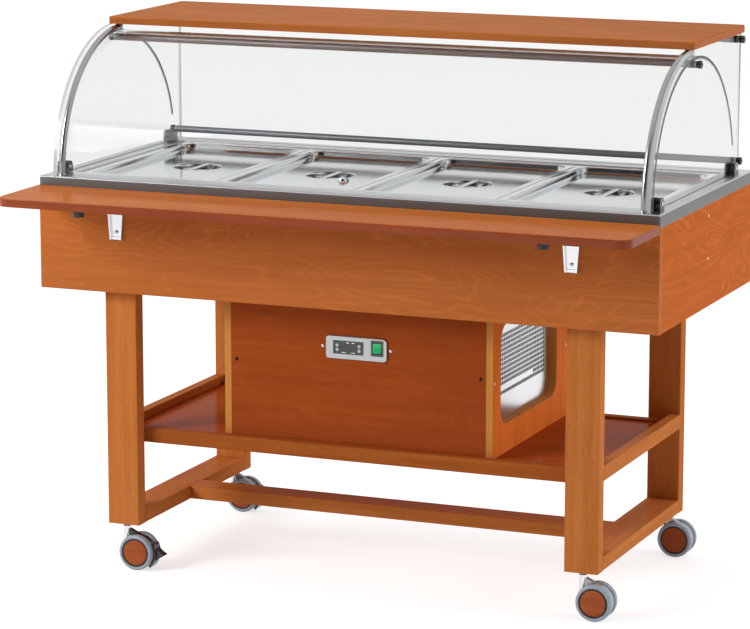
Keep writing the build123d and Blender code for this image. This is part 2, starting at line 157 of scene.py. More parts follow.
def wood(name, light, middle, dark, axis, figure=0.0, rings=9.0, pores=0.5, gloss=0.3, coat=0.03,
         shift=(0, 0, 0)):
    """Stained and lacquered wood, in three card colours. figure is how strongly the contour lines of
    peeled veneer show."""
    light, middle, dark = (stain(*card) for card in (light, middle, dark))
    made = Finish(name, middle, gloss, Coat_Weight=coat, Coat_Roughness=0.12, Coat_IOR=1.4, IOR=1.02)
    tone = made.noise(along(axis, 1.3, 5.0), 3.0, 0.55, 0.3, shift)
    streak = made.noise(along(axis, 2.2, 60.0), 3.0, 0.6, 0.2, shift)
    fibre = made.noise(along(axis, 16.0, 720.0), 4.0, 0.65, 0.0, shift)
    dash = made.noise(along(axis, 90.0, 1300.0), 1.0, 0.5, 0.0, shift)
    colour = made.mix(made.spread(tone, 0.32, 0.68), dark, light)
    colour = made.mix(0.55, colour, middle)
    colour = made.mix(made.spread(streak, 0.35, 0.65, 0.0, 0.5), colour, dark)
    colour = made.mix(made.spread(fibre, 0.3, 0.7, 0.0, 0.28), colour, light)
    grooves = made.spread(dash, 0.62, 0.74, 0.0, pores)
    colour = made.mix(grooves, colour, [v * 0.45 for v in dark[:3]] + [1.0])
    height = made.math("ADD", made.math("MULTIPLY", fibre, 0.35), made.math("MULTIPLY", grooves, -0.6))
    if figure:
        field = made.noise(along(axis, 1.9, 8.5), 2.5, 0.48, 0.5, shift)
        wave = made.math("PINGPONG", made.math("MULTIPLY", field, rings), 0.5)
        line = made.spread(wave, 0.0, 0.09, 1.0, 0.0)
        soft = made.spread(wave, 0.05, 0.5, 0.45, 0.0)
        patch = made.spread(made.noise((7.0, 7.0, 7.0), 2.0, 0.5, 0.0, shift), 0.35, 0.6, 0.25, 1.0)
        shown = made.math("MULTIPLY", made.math("ADD", line, soft), patch)
        pale = [min(1, v * 1.15) for v in light[:3]] + [1.0]
        colour = made.mix(made.math("MULTIPLY", shown, figure), colour, pale)
        height = made.math("ADD", height, made.math("MULTIPLY", line, 0.2))
    made.feed(colour, "Base Color")
    made.feed(made.spread(fibre, 0.3, 0.7, gloss - 0.04, gloss + 0.07), "Roughness")
    made.bump(height, 0.22, 0.00025)
    return made


def show(piece, body, slot, *stands_for):
    """Rides the piece on its body and hides the CAD nodes that it stands for. slot is not used."""
    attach(piece, body)
    if stands_for:
        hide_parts(*stands_for)
    return piece


def soften(mesh, angle):
    """Smooth shading that stays crisp at edges sharper than the angle, in degrees."""
    mesh.shade_smooth()
    mesh.set_sharp_from_angle(angle=math.radians(angle))


def shade_evenly(piece):
    """Lets large faces decide the shading, so that flat faces stay flat beside round edges."""
    even = piece.modifiers.new("even_shading", "WEIGHTED_NORMAL")
    even.keep_sharp = True
    return piece


def dress(node, finish, slot, angle=34, second=None, takes_second=None):
    """A copy of a CAD node with its points merged and its round faces smooth, in a finish. Faces for
    which takes_second(centre, normal) holds get the second finish."""
    body = nodes[node]["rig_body"]
    mesh = nodes[node].data.copy()
    mesh.materials.clear()
    if "custom_normal" in mesh.attributes:
        mesh.attributes.remove(mesh.attributes["custom_normal"])
    shape = bmesh.new()
    shape.from_mesh(mesh)
    bmesh.ops.remove_doubles(shape, verts=shape.verts, dist=2e-6)
    shape.to_mesh(mesh)
    shape.free()
    mesh.materials.append(finish.material)
    if second:
        mesh.materials.append(second.material)
        for face in mesh.polygons:
            face.material_index = int(bool(takes_second(face.center, face.normal)))
    soften(mesh, angle)
    piece = bpy.data.objects.new(node + "_finished", mesh)
    bpy.context.scene.collection.objects.link(piece)
    return show(shade_evenly(piece), body, slot, node)


# The stand: four solid beech legs, a bottom rail at each end and a stretcher between them. The beech
# is planed, stained orange-brown and lacquered, with its grain along each part and small dark pores.
leg_colours = ((214, 136, 74), (194, 114, 54), (160, 84, 34))
leg_wood = wood("beech_upright", *leg_colours, "Z", pores=0.55, shift=(0.3, 0.1, 0))
end_wood = wood("beech_end_rail", *leg_colours, "Y", pores=0.5, shift=(1.3, 0, 0.2))
long_wood = wood("beech_long_rail", *leg_colours, "X", pores=0.5, shift=(2.3, 0.4, 0))
dress("legs", leg_wood, "wood_stand")
dress("bottom_rails", end_wood, "wood_stand")
dress("stretcher", long_wood, "wood_stand")


# The lower shelf: a veneered board in a frame of four rails. The board is stained darker than the
# rails, and its lacquer is smooth enough to give back the light in a soft band.
end_rail_inner = 547.5 * mm


def by_end(centre, normal):
    return abs(centre.x) > end_rail_inner


rail_colours = ((184, 106, 50), (160, 84, 34), (130, 60, 22))
rail_wood = wood("beech_shelf_rail", *rail_colours, "X", pores=0.5, shift=(4.3, 0.4, 0))
rail_end = wood("beech_shelf_end_rail", *leg_colours, "Y", pores=0.5, shift=(4.3, 0.9, 0))
shelf_wood = wood("shelf_board", (186, 92, 38), (166, 74, 27), (138, 58, 20), "X",
                  figure=0.15, gloss=0.24, coat=0.12, shift=(5.1, 0, 0))
dress("shelf_panel", shelf_wood, "wood_shelf")
dress("shelf_rails", rail_wood, "wood_shelf", second=rail_end, takes_second=by_end)


# The cabinet: four fascia boards of birch plywood round the cold well. The veneer is peeled from the
# log, so pale contour lines run over it in long loops, and the stain is an even orange-brown.
fascia_colours = ((198, 118, 62), (181, 101, 50), (160, 85, 40))
fascia_wood = wood("birch_front", *fascia_colours, "X", figure=0.42, rings=24, pores=0.12, gloss=0.36)
end_colours = ((204, 112, 50), (187, 95, 40), (162, 78, 31))
fascia_end = wood("birch_end", *end_colours, "Y", figure=0.42, rings=24, pores=0.12, gloss=0.36,
                  shift=(0, 3, 1))
ply_colours = ((206, 168, 118), (190, 148, 98), (160, 116, 70))
ply = wood("birch_ply", *ply_colours, "X", pores=0.2, gloss=0.5)
dress("front_fascia", fascia_wood, "wood_fascia")
dress("rear_fascia", fascia_wood, "wood_fascia")
dress("end_fascias", fascia_end, "wood_fascia")
dress("carcass", ply, "plywood")


# Screws and cover caps, wherever the trolley has them. One small head is turned once, then set on
# every listed place by a Geometry Nodes tree, with its flat side on the wood or metal.
def new_piece(name, shape, finish, angle=34):
    """Makes an object of a bmesh, in one finish. The faces stay turned as they are."""
    mesh = bpy.data.meshes.new(name)
    shape.to_mesh(mesh)
    shape.free()
    mesh.materials.append(finish.material)
    soften(mesh, angle)
    piece = bpy.data.objects.new(name, mesh)
    bpy.context.scene.collection.objects.link(piece)
    return piece


def solid_piece(name, shape, finish, angle=50):
    """The same for closed solids, whose faces are first turned outwards."""
    bmesh.ops.recalc_face_normals(shape, faces=shape.faces)
    return new_piece(name, shape, finish, angle)


def in_mm(*points):
    return [(radius * mm, height * mm) for radius, height in points]


def turned(shape, profile, start, direction, steps=48):
    """Adds a solid of revolution to the bmesh. The profile is (radius, height) points from the first
    pole to the last; heights are measured from start along the direction."""
    turn = Vector(direction).to_track_quat("Z", "Y").to_matrix()
    rings = []
    for radius, height in profile:
        if radius < 1e-7:
            rings.append([shape.verts.new(Vector(start) + turn @ Vector((0, 0, height)))])
            continue
        ring = []
        for step in range(steps):
            a = 2 * math.pi * step / steps
            ring.append(shape.verts.new(Vector(start) + turn @ Vector(
                (radius * math.cos(a), radius * math.sin(a), height))))
        rings.append(ring)
    for low, high in zip(rings, rings[1:]):
        for step in range(steps):
            corners = [low[step % len(low)], low[(step + 1) % len(low)] if len(low) > 1 else None,
                       high[(step + 1) % len(high)] if len(high) > 1 else high[0],
                       high[step] if len(high) > 1 else None]
            shape.faces.new([corner for corner in corners if corner])
    return shape


def plain_rod(shape, radius, start, end, ease=0.5 * mm):
    """Adds a round rod with eased ends to the bmesh."""
    length = (Vector(end) - Vector(start)).length
    first = [(0, 0), (radius - ease, 0), (radius - 0.3 * ease, 0.3 * ease), (radius, ease)]
    profile = first + [(r, length - h) for r, h in reversed(first)]
    return turned(shape, profile, start, Vector(end) - Vector(start), 40)


def head_tree():
    """Points to screw heads: sets the given head on each point, scaled, and paints them all alike."""
    tree = bpy.data.node_groups.new("screw_heads", "GeometryNodeTree")
    sockets = (("Places", "NodeSocketGeometry"), ("Head", "NodeSocketObject"), ("Width", "NodeSocketFloat"),
               ("Finish", "NodeSocketMaterial"))
    for title, kind in sockets:
        tree.interface.new_socket(title, in_out="INPUT", socket_type=kind)
    tree.interface.new_socket("Heads", in_out="OUTPUT", socket_type="NodeSocketGeometry")
    given, result = tree.nodes.new("NodeGroupInput"), tree.nodes.new("NodeGroupOutput")
    info = tree.nodes.new("GeometryNodeObjectInfo")
    facing = tree.nodes.new("GeometryNodeInputNamedAttribute")
    facing.data_type = "FLOAT_VECTOR"
    facing.inputs["Name"].default_value = "facing"
    turn = tree.nodes.new("FunctionNodeAlignRotationToVector")
    turn.axis = "Z"
    setting = tree.nodes.new("GeometryNodeInstanceOnPoints")
    real = tree.nodes.new("GeometryNodeRealizeInstances")
    paint = tree.nodes.new("GeometryNodeSetMaterial")
    joins = ((given, "Head", info, "Object"), (facing, "Attribute", turn, "Vector"),
             (given, "Places", setting, "Points"), (info, "Geometry", setting, "Instance"),
             (turn, "Rotation", setting, "Rotation"), (given, "Width", setting, "Scale"),
             (setting, "Instances", real, "Geometry"), (real, "Geometry", paint, "Geometry"),
             (given, "Finish", paint, "Material"), (paint, "Geometry", result, "Heads"))
    for giver, output, taker, target in joins:
        tree.links.new(giver.outputs[output], taker.inputs[target])
    return tree


def made_plain(piece):
    """Turns an object's evaluated Geometry Nodes result into its own plain mesh."""
    bpy.context.view_layer.update()
    mesh = bpy.data.meshes.new_from_object(piece.evaluated_get(bpy.context.evaluated_depsgraph_get()))
    piece.modifiers.clear()
    piece.data = mesh
    return piece


def grown(name, mesh, tree, values):
    """An object whose mesh a Geometry Nodes tree makes, with its named inputs set."""
    piece = bpy.data.objects.new(name, mesh)
    bpy.context.scene.collection.objects.link(piece)
    modifier = piece.modifiers.new(tree.name, "NODES")
    modifier.node_group = tree
    places = {item.name: item.identifier for item in tree.interface.items_tree if item.in_out == "INPUT"}
    for title, value in values.items():
        modifier[places[title]] = value
    return made_plain(piece)


heads = head_tree()
zinc = Finish("screw_zinc", stain(196, 198, 200), 0.28, 1.0)
cross_profile = [(0, -0.02), (0.5, -0.02), (0.5, 0.06), (0.47, 0.15), (0.38, 0.24), (0.26, 0.29), (0.2, 0.3),
                 (0.17, 0.22), (0.0, 0.16)]
cap_profile = [(0, -0.02), (0.5, -0.02), (0.5, 0.05), (0.46, 0.12), (0.34, 0.17), (0.17, 0.195), (0, 0.2)]
cross_head, cap_head = (
    new_piece(name, turned(bmesh.new(), profile, (0, 0, 0), (0, 0, 1), 20), zinc)
    for name, profile in (("head_cross", cross_profile), ("head_cap", cap_profile)))


def screws(name, places, width, finish, body, slot, head=cross_head):
    """places: (point, direction that the head faces), in the row frame."""
    mesh = bpy.data.meshes.new(name)
    mesh.from_pydata([point for point, facing in places], [], [])
    attribute = mesh.attributes.new("facing", "FLOAT_VECTOR", "POINT")
    for item, (point, facing) in zip(attribute.data, places):
        item.vector = facing
    piece = grown(name, mesh, heads, {"Head": head, "Width": width, "Finish": finish.material})
    soften(piece.data, 50)
    return show(piece, body, slot)


cover_white = Finish("cover_cap_plastic", stain(226, 206, 176), 0.35)
cover_white.worn(0.3, 0.42, 300)
end_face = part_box("end_fascias")[1].x
cover_places = [((sx * end_face, centre_y, z * mm), (sx, 0, 0)) for sx in (-1, 1) for z in (828, 736)]
screws("fascia_cover_caps", cover_places, 7 * mm, cover_white, "cabinet", "grey_plate", cap_head)


# The worktop: one sheet of satin stainless steel. Its edge is folded down 27 mm round the cabinet and
# its middle is sunk 6 mm to a ledge, on which the rims of the pans lie.
def steel(name, card, roughness, grain_axis="X", grain=0.5, turn=0.0):
    """Ground stainless steel: fine scratches along one axis, and a slow change in how dull it is."""
    colour = stain(*card)
    made = Finish(name, colour, roughness, 1.0)
    made.set("Anisotropic", turn)
    line = made.noise(along(grain_axis, 9.0, 1500.0), 3.0, 0.6)
    cloud = made.noise((4.0, 4.0, 4.0), 2.0, 0.5)
    rough = made.math("ADD", made.spread(line, 0.3, 0.7, -0.03 * grain, 0.04 * grain),
                      made.spread(cloud, 0.3, 0.7, roughness - 0.01, roughness + 0.02))
    made.feed(rough, "Roughness")
    dull = [v * 0.95 for v in colour[:3]] + [1.0]
    made.feed(made.mix(made.spread(cloud, 0.35, 0.7, 0.0, 0.5), colour, dull), "Base Color")
    made.bump(line, 0.06 * grain, 0.00002)
    return made


def rounded_ring(shape, centre, half_x, half_y, radius, z, steps=8):
    """One closed ring of points: a rectangle with round corners, counter-clockwise from above."""
    ring = []
    for quarter, (sx, sy) in enumerate(((1, 1), (-1, 1), (-1, -1), (1, -1))):
        for step in range(steps + 1):
            a = math.pi / 2 * (quarter + step / steps)
            ring.append(shape.verts.new((centre[0] + sx * (half_x - radius) + radius * math.cos(a),
                                         centre[1] + sy * (half_y - radius) + radius * math.sin(a), z)))
    return ring


def skin(shape, rings):
    for low, high in zip(rings, rings[1:]):
        count = len(low)
        for step in range(count):
            shape.faces.new((low[step], low[(step + 1) % count], high[(step + 1) % count], high[step]))


def thickened(piece, thickness):
    """Gives a sheet its gauge, below or inside the drawn face."""
    gauge = piece.modifiers.new("gauge", "SOLIDIFY")
    gauge.thickness = thickness
    gauge.offset = -1
    gauge.use_even_offset = True
    return shade_evenly(piece)


satin = steel("worktop_satin_steel", (196, 197, 199), 0.27, "X", 0.8, 0.3)
half_x, half_y = top_high.x, (top_high.y - top_low.y) / 2
recess_x, recess_y = 652 * mm, 267 * mm
# how far in, corner radius and how far down, in millimetres, from the outer edge and from the recess
outer_bend = ((0, 3.5, 3.4), (0.25, 3.3, 2.1), (1.0, 2.8, 1.0), (2.1, 2.2, 0.25), (3.4, 2.0, 0))
ledge_bend = ((-2.6, 8.0, 0), (-1.5, 7.4, 0.3), (-0.5, 6.8, 1.2), (0, 6.4, 2.6), (0, 6.4, 5.2),
              (0.8, 6.0, 6.0), (8.5, 4.0, 6.0), (10, 4.0, 7.5), (10, 4.0, 15))
sheet = bmesh.new()
rings = [rounded_ring(sheet, (0, centre_y), half_x, half_y, 3.5 * mm, top_low.z)]
for across, deep, bend in ((half_x, half_y, outer_bend), (recess_x, recess_y, ledge_bend)):
    for inset, corner, drop in bend:
        rings.append(rounded_ring(sheet, (0, centre_y), across - inset * mm, deep - inset * mm, corner * mm,
                                  deck - drop * mm))
skin(sheet, rings)
bmesh.ops.recalc_face_normals(sheet, faces=sheet.faces)
top_face = max(sheet.faces, key=lambda face: face.calc_center_median().z * (abs(face.normal.z) > 0.99))
if top_face.normal.z < 0:
    bmesh.ops.reverse_faces(sheet, faces=sheet.faces)
# The folded-down edge is the same satin steel as the top, painted a darker grey and made less metal: painted
# shade for the dark that the upright edge shows.
folded = steel("worktop_edge_painted_shade", (104, 104, 105), 0.4, "X", 0.8)
folded.set("Metallic", 0.6)
worktop = thickened(new_piece("worktop_sheet", sheet, satin, 50), 1.6 * mm)
worktop.data.materials.append(folded.material)
# Faces of the folded-down edge take the painted-shade steel.
for face in worktop.data.polygons:
    upright = abs(face.normal.z) < 0.3 and face.center.z < deck - 1 * mm and face.area > 10 * mm * mm
    reach = max(abs(face.center.x) / half_x, abs(face.center.y - centre_y) / half_y)
    face.material_index = int(upright and reach > 0.99)
show(worktop, "cabinet", "steel_worktop", "worktop")


# The cold well under it: a welded steel tank, bars that carry the pans' meeting rims, the aluminium
# evaporator plate below the tank, and foamed insulation under all of it.
tank_steel = steel("tank_steel", (188, 190, 192), 0.34, "X", 0.6)
coil_metal = steel("evaporator_aluminium", (200, 202, 204), 0.4, "X", 0.4)
foam = Finish("insulation_foam", stain(226, 206, 150), 0.9)
foam.mottled((232, 214, 160), (206, 180, 118), 140, 4.0)
foam.bump(foam.noise((260, 260, 260), 3.0), 0.5, 0.0008)
dress("well_tank", tank_steel, "steel_worktop")
dress("pan_crossbars", tank_steel, "steel_pan")
dress("evaporator", coil_metal, "fin_aluminium")
dress("well_insulation", foam, "foam")


# Four pans and their lids, pressed from bright stainless sheet. A lid has a flat rim, a shallow dish
# with a rolled edge, and a round cup in the middle with a bar across it to lift it by.
# The pans' steel is painted darker than the lids' as painted shade, so that the gaps between the lids show as
# dark lines.
pan_steel = steel("pan_steel_painted_gap_shade", (150, 151, 153), 0.26, "X", 0.5)
lid_steel = steel("lid_bright_steel", (218, 219, 221), 0.1, "X", 0.06)
lid_rim_x, lid_rim_y = 161.3 * mm, 263.8 * mm
rim_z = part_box("lid_1")[1].z
dish_x, dish_y = 147.5 * mm, 250 * mm
dish_floor = rim_z - 13 * mm
dish_profile = [(0, 0), (1.0, 0.15), (1.9, 0.6), (2.6, 1.4), (3.0, 2.4), (4.6, 9.2), (5.1, 10.6), (6.0, 11.8),
                (7.3, 12.6), (9.0, 12.95), (11.0, 13.0)]
rim_profile = [(0, 1.2), (0.1, 0.6), (0.5, 0.15), (1.3, 0.0)]
cup_profile = [(56, 0), (54.6, 0.15), (53.5, 0.7), (52.8, 1.6), (52.4, 3.0), (51.2, 12.0), (50.4, 14.6),
               (48.6, 16.6), (45.8, 17.7), (42.0, 18.0)]
cup_sides, cup_deep = 72, 18 * mm


def lid_shape(centre):
    """A pressed lid's upper face: the rim and the dish round it, then the cup in the middle."""
    shape = bmesh.new()
    rings = []
    for across, deep, corner, profile in ((lid_rim_x, lid_rim_y, 12, rim_profile),
                                          (dish_x, dish_y, 27, dish_profile)):
        for inset, drop in profile:
            rings.append(rounded_ring(shape, centre, across - inset * mm, deep - inset * mm,
                                      (corner - inset) * mm, rim_z - drop * mm))
    skin(shape, rings)
    circle = [2 * math.pi * step / cup_sides for step in range(cup_sides)]
    cup = []
    for radius, drop in in_mm(*cup_profile):
        cup.append([shape.verts.new((centre[0] + radius * math.cos(a), centre[1] + radius * math.sin(a),
                                     dish_floor - drop)) for a in circle])
    skin(shape, cup)
    pole = shape.verts.new((centre[0], centre[1], dish_floor - cup_deep))
    for step in range(cup_sides):
        shape.faces.new((cup[-1][step], cup[-1][(step + 1) % cup_sides], pole))
    edges = [shape.edges.get((ring[i], ring[(i + 1) % len(ring)])) for ring in (rings[-1], cup[0])
             for i in range(len(ring))]
    bmesh.ops.triangle_fill(shape, edges=edges, use_beauty=True)
    bmesh.ops.recalc_face_normals(shape, faces=shape.faces)
    if pole.link_faces[0].normal.z < 0:
        bmesh.ops.reverse_faces(shape, faces=shape.faces)
    return shape


def handle_shape(centre):
    """The lifting bar: a flat strip with eased edges, let into the cup's rim at both ends."""
    shape = bmesh.new()
    outline = [(-7.0, -2.2), (-6.6, -2.8), (-5.8, -3.0), (5.8, -3.0), (6.6, -2.8), (7.0, -2.2), (7.0, -0.9),
               (6.5, -0.3), (5.6, 0.0), (-5.6, 0.0), (-6.5, -0.3), (-7.0, -0.9)]
    ends = []
    for y in (-52.4, 52.4):
        ends.append([shape.verts.new((centre[0] + x * mm, centre[1] + y * mm, dish_floor + z * mm))
                     for x, z in outline])
    skin(shape, ends)
    shape.faces.new(ends[0])
    shape.faces.new(list(reversed(ends[1])))
    return shape


for number in range(1, 5):
    low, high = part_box(f"lid_{number}")
    middle = ((low.x + high.x) / 2, (low.y + high.y) / 2)
    lid = thickened(new_piece(f"lid_{number}_pressed", lid_shape(middle), lid_steel, 50), 1.2 * mm)
    show(lid, f"lid_{number}", "steel_pan", f"lid_{number}")
    show(solid_piece(f"lid_{number}_bar", handle_shape(middle), lid_steel), f"lid_{number}", "steel_pan")
    dress(f"pan_{number}", pan_steel, "steel_pan", 40)


# The roll-back hood, the end panels and the rear panel: clear acrylic sheet with pale sawn edges. The
# hood's curved ends run in a groove in each end panel, which has a grey lining.
def clear(name, colour, bend):
    """Clear sheet. Lamps shine through it, so what is inside it is lit."""
    made = Finish(name, colour, 0.0, Transmission_Weight=1.0, IOR=bend)
    made.set("Specular Tint", (0.35, 0.35, 0.35, 1))
    output = made.tree.nodes["Material Output"]
    through = made.add("BsdfTransparent")
    through.inputs["Color"].default_value = (0.95, 0.955, 0.95, 1)
    kind = made.add("LightPath")
    both = made.add("MixShader", {0: kind.outputs["Is Shadow Ray"], 1: made.shader.outputs[0],
                                  2: through.outputs[0]})
    made.tree.links.new(both.outputs[0], output.inputs["Surface"])
    return made


acrylic = clear("acrylic_clear", (0.89, 0.9, 0.9, 1), 1.2)
acrylic_hood = clear("acrylic_hood", (0.93, 0.94, 0.935, 1), 1.3)
axis_y, axis_z = centre_y - 15 * mm, deck
hood_inside, hood_outside = 282 * mm, 287 * mm
hood_half = 679 * mm


def on_arc(radius, degrees, x):
    """A point about the hood's axis; the angle goes from the customer's edge up and back."""
    a = math.radians(degrees)
    return Vector((x, axis_y - radius * math.cos(a), axis_z + radius * math.sin(a)))


def arc_sheet(inner, outer, first, last, x0, x1, count):
    """A bent sheet between two radii and two angles, closed on all sides."""
    shape = bmesh.new()
    angles = [first + (last - first) * step / count for step in range(count + 1)]
    rows = []
    for x in (x0, x1):
        rows.append([shape.verts.new(on_arc(outer, a, x)) for a in angles])
        rows.append([shape.verts.new(on_arc(inner, a, x)) for a in angles])
    left_out, left_in, right_out, right_in = rows
    for one, two in ((left_out, right_out), (right_in, left_in), (left_in, left_out), (right_out, right_in)):
        for i in range(count):
            shape.faces.new((one[i], one[i + 1], two[i + 1], two[i]))
    for i in (0, count):
        shape.faces.new((left_in[i], left_out[i], right_out[i], right_in[i]))
    bmesh.ops.recalc_face_normals(shape, faces=shape.faces)
    return shape


def round_edge(centre, normal):
    return abs(normal.x) < 0.5


def side_edge(centre, normal):
    return abs(normal.x) > 0.9


def eased(piece, width, segments=2):
    """Breaks the sharp edges, as sanding or polishing does."""
    edge = piece.modifiers.new("broken_edges", "BEVEL")
    edge.width = width
    edge.segments = segments
    edge.limit_method = "ANGLE"
    edge.angle_limit = math.radians(50)
    return piece


bent = arc_sheet(hood_inside, hood_outside, 1, 107, -hood_half, hood_half, 72)
show(eased(new_piece("hood_sheet", bent, acrylic_hood), 0.8 * mm), "hood", "clear_plastic", "hood")
acrylic_edge = Finish("acrylic_sawn_edge", stain(182, 185, 185), 0.35, Coat_Weight=0.3)
acrylic_edge.worn(0.3, 0.45, (40, 40, 300))
dress("end_panels", acrylic, "clear_plastic", 20, second=acrylic_edge, takes_second=round_edge)
dress("rear_panel", acrylic, "clear_plastic", second=acrylic_edge, takes_second=side_edge)

lining = Finish("groove_lining", stain(128, 130, 130), 0.5)
lining.worn(0.42, 0.6, 400)
for side, sx in (("left", -1), ("right", 1)):
    bottom = sx * 679.5 * mm
    strip = arc_sheet(281.5 * mm, 287.5 * mm, 1, 167, bottom - sx * 0.3 * mm, bottom, 96)
    show(new_piece(f"groove_lining_{side}", strip, lining), "cabinet", "clear_plastic")

# The hood's pull: a turned and plated knob on a shank through the sheet, with a washer inside.
plated = Finish("bright_plating", stain(222, 222, 224), 0.06, 1.0)
plated.worn(0.04, 0.11, 30, 3.0)
knob_angle = 4.8
knob_start = on_arc(hood_outside, knob_angle, 0)
outwards = on_arc(1, knob_angle, 0) - on_arc(0, knob_angle, 0)
knob = bmesh.new()
turned(knob, in_mm((0, 0), (6.4, 0), (6.4, 1.0), (5.2, 1.6), (4.6, 4.5), (5.0, 7.4), (7.6, 8.8), (9.2, 11.2),
                   (9.5, 13.6), (9.0, 16.2), (7.4, 18.4), (4.4, 19.7), (0, 20)), knob_start, outwards)
turned(knob, in_mm((0, -8), (6.2, -7.9), (7, -7), (7, -5.15), (0, -5.15)), knob_start, outwards, 32)
show(solid_piece("hood_pull", knob, plated), "hood", "chrome", "hood_knob")


# The frame that carries the top shelf: a bent stainless tube at each end, three tie rods that clamp the
# end panels, black caps on the rods' ends, and moulded black clamps that hold the panels to the top.
tube_steel = steel("polished_tube", (172, 173, 175), 0.24, "Z", 0.3)
# The tie rods are polished steel, painted a darker grey and made only partly metal: painted shade for the
# dark they show.
rod_steel = steel("tie_rod_steel_painted_shade", (107, 110, 114), 0.34, "X", 0.3)
rod_steel.set("Metallic", 0.35)
black_gloss = Finish("black_moulding", stain(16, 16, 17), 0.2, Coat_Weight=0.4, Coat_Roughness=0.1)
black_gloss.worn(0.16, 0.28, 90, 3.0)


def bent_tube(shape, points, radius, sides=32):
    """Adds a round tube through the points, its cross-section square to the path."""
    rings = []
    for i, point in enumerate(points):
        before, after = points[max(i - 1, 0)], points[min(i + 1, len(points) - 1)]
        forward = (after - before).normalized()
        across = Vector((1, 0, 0))
        up = forward.cross(across).normalized()
        rings.append([shape.verts.new(point + radius * (math.cos(a) * across + math.sin(a) * up))
                      for a in [2 * math.pi * s / sides for s in range(sides)]])
    skin(shape, rings)
    shape.faces.new(list(reversed(rings[0])))
    shape.faces.new(rings[-1])


tubes = bmesh.new()
shelf_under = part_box("overshelf")[0].z
for sx in (-1, 1):
    x = sx * 667 * mm
    path = [on_arc(296 * mm, 88 * step / 48, x) for step in range(49)]
    bent_tube(tubes, path, 7 * mm)
    foot, end = path[0], path[-1]
    turned(tubes, in_mm((0, 0), (8.7, 0), (8.7, 2.2), (8.0, 3), (0, 3)), foot, (0, 0, 1))
    plain_rod(tubes, 8.2 * mm, end - Vector((0, 0, 7.2 * mm)), (end.x, end.y, shelf_under))
show(solid_piece("bent_support_tubes", tubes, tube_steel), "cabinet", "steel_tube", "support_tubes")

rods, caps = bmesh.new(), bmesh.new()
rod_places = [(centre_y - 20 * mm, deck + 271 * mm), (centre_y + 289 * mm, deck + 25 * mm),
              (centre_y + 294 * mm, shelf_under - 12 * mm)]
rod_end, sleeve_end = 688 * mm, 675.5 * mm
rod_cap = in_mm((0, 0), (8.5, 0), (8.5, 6.6), (8.0, 7.5), (7, 8), (3.2, 8), (2.9, 6.4), (0, 6.4))
for number, (y, z) in enumerate(rod_places):
    plain_rod(rods, 7.5 * mm, (-sleeve_end, y, z), (sleeve_end, y, z))
    for sx in (-1, 1):
        plain_rod(caps, 7.5 * mm, (sx * sleeve_end, y, z), (sx * rod_end, y, z), 0.2 * mm)
        if number == 2:
            plain_rod(caps, 8.4 * mm, (sx * 640 * mm, y, z), (sx * 675.6 * mm, y, z))
        turned(caps, rod_cap, (sx * rod_end, y, z), (sx, 0, 0), 36)
show(solid_piece("polished_tie_rods", rods, rod_steel), "cabinet", "steel_tube", "tie_rods")
show(solid_piece("black_rod_caps", caps, black_gloss), "cabinet", "black_plastic", "rod_end_caps")
eased(dress("clamp_knobs", black_gloss, "black_plastic", 40), 2.6 * mm, 4)
bolts = [((sx * x * mm, centre_y + y * mm, deck + 13 * mm), (sx * facing, 0, 0))
         for x, facing in ((694, 1), (666, -1)) for sx in (-1, 1) for y in (-275, 256)]
screws("clamp_bolts", bolts, 9 * mm, plated, "cabinet", "chrome")


# The top shelf and the fold-down tray shelf: beech-faced boards with solid, eased edges. The grain runs
# lengthwise, and the lacquer on the tray is brushed to a higher gloss.
def faces_out(centre, normal):
    return abs(normal.z) < 0.6


over_wood = wood("top_shelf_beech", (194, 116, 42), (176, 94, 30), (142, 68, 20), "X",
                 figure=0.12, rings=12, pores=0.2, gloss=0.26, coat=0.0, shift=(7.7, 2.0, 0))
over_edge = wood("top_shelf_lipping", (190, 116, 58), (172, 98, 46), (144, 74, 34), "X",
                 pores=0.3, gloss=0.26, coat=0.15, shift=(6.7, 2.0, 0))
tray_wood = wood("tray_beech", (200, 118, 52), (184, 100, 40), (152, 72, 27), "X",
                 figure=0.14, rings=12, pores=0.2, gloss=0.2, coat=0.1, shift=(9.1, 5.0, 0))
tray_edge = wood("tray_lipping", (160, 78, 40), (138, 60, 28), (112, 44, 20), "X",
                 pores=0.3, gloss=0.2, coat=0.5, shift=(8.1, 5.0, 0))
dress("overshelf", over_wood, "wood_top", second=over_edge, takes_second=faces_out)
dress("tray_shelf", tray_wood, "wood_top", second=tray_edge, takes_second=faces_out)


# The tray's folding brackets: plated pressings, tapered towards a screwed foot, with an arm under the
# shelf. Each arm ends in a black rubber buffer, which rests on the fascia when the shelf hangs down.
rubber = Finish("black_rubber", stain(22, 22, 23), 0.55)
rubber.worn(0.45, 0.65, 350, 3.0)
rubber.bump(rubber.noise((900, 900, 900), 2.0), 0.2, 0.0001)
dress("bracket_plates", plated, "chrome", 30)
dress("bracket_arms", plated, "chrome", 30)
buffer_low, buffer_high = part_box("buffers")
bracket_x = 522 * mm
cone = in_mm((0, 0), (12.5, 0), (12.3, 2), (11.3, 10), (10.6, 11.6), (9.2, 12), (0, 12))
cones = bmesh.new()
for sx in (-1, 1):
    turned(cones, cone, (sx * bracket_x, (buffer_low.y + buffer_high.y) / 2, buffer_high.z), (0, 0, -1))
show(solid_piece("rubber_buffers", cones, rubber), "tray", "black_rubber", "buffers")
foot_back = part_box("bracket_plates")[1].y
foot_screws = [((sx * bracket_x, foot_back - inset * mm, z * mm), (0, -1, 0))
               for inset, z in ((5, 766.5), (3, 810)) for sx in (-1, 1)]
screws("bracket_screws", foot_screws, 7.5 * mm, zinc, "cabinet", "chrome")


# The compressor unit's box: a front board and two side boards of the same stained plywood, with pale
# edges, and a window with round corners in each side. Behind the windows and at the back is a sheet of
# bright metal, punched with rows of square holes.
def on_edge(centre, normal):
    return abs(normal.x) < 0.7
